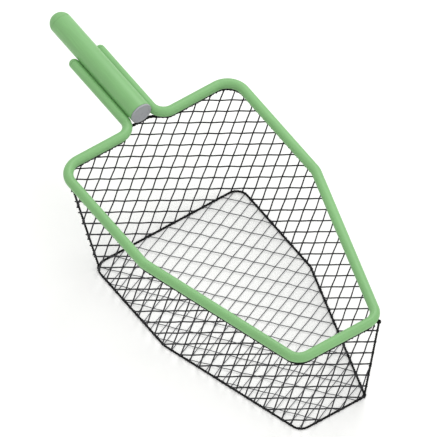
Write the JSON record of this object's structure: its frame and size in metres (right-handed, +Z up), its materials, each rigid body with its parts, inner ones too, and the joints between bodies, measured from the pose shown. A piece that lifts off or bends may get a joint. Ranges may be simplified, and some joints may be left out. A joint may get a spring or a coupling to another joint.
{
  "type": "leaf skimmer net",
  "caption": "Deep-bag pool leaf net: a bent tube hoop with tapered front, a netting bag on rope edges, and a short stub with a snap button for a pole.",
  "frame": {"origin": "on the surface that the bag's floor rests on, midway along and across the whole net", "axes": "+Z up out of the bag's mouth, +Y towards the free end of the handle stub, +X to the right seen from above with the handle at the far end"},
  "size_m": [0.2676, 0.6124, 0.1793],
  "materials": {
    "green_coated_tube": "satin",
    "green_plastic": "satin",
    "grey_plastic": "matte",
    "stainless_steel": "satin",
    "black_bead": "matte",
    "black_rope": "matte",
    "netting": "matte"
  },
  "bodies": {
    "skimmer_net": {"frame_hoop": "green_coated_tube", "left_leg_cap": "green_plastic", "right_leg_cap": "green_plastic", "handle_tube": "green_coated_tube", "handle_front_plug": "grey_plastic", "handle_end_cap": "green_plastic", "weld_left_front": "green_coated_tube", "weld_left_middle": "green_coated_tube", "weld_left_rear": "green_coated_tube", "weld_right_front": "green_coated_tube", "weld_right_middle": "green_coated_tube", "weld_right_rear": "green_coated_tube", "snap_spring": "stainless_steel", "net_bead": "black_bead", "head_rope": "black_rope", "floor_rope": "black_rope", "corner_rope_left_rear": "black_rope", "corner_rope_right_front": "black_rope", "knot_right_front": "black_rope", "net_back": "netting", "net_right_rear": "netting", "net_right_front": "netting", "net_front": "netting", "net_left_front": "netting", "net_left_rear": "netting", "net_floor": "netting"},
    "lock_button": {"snap_button": "stainless_steel"}
  },
  "joints": [
    {"name": "button_press", "type": "slide", "parent": "skimmer_net", "child": "lock_button", "axis": [0, 0, 1], "range_m": [0, 0.0055], "stiffness_N_per_m": 1200, "springref_m": -0.003, "deforming": ["snap_spring"]}
  ]
}
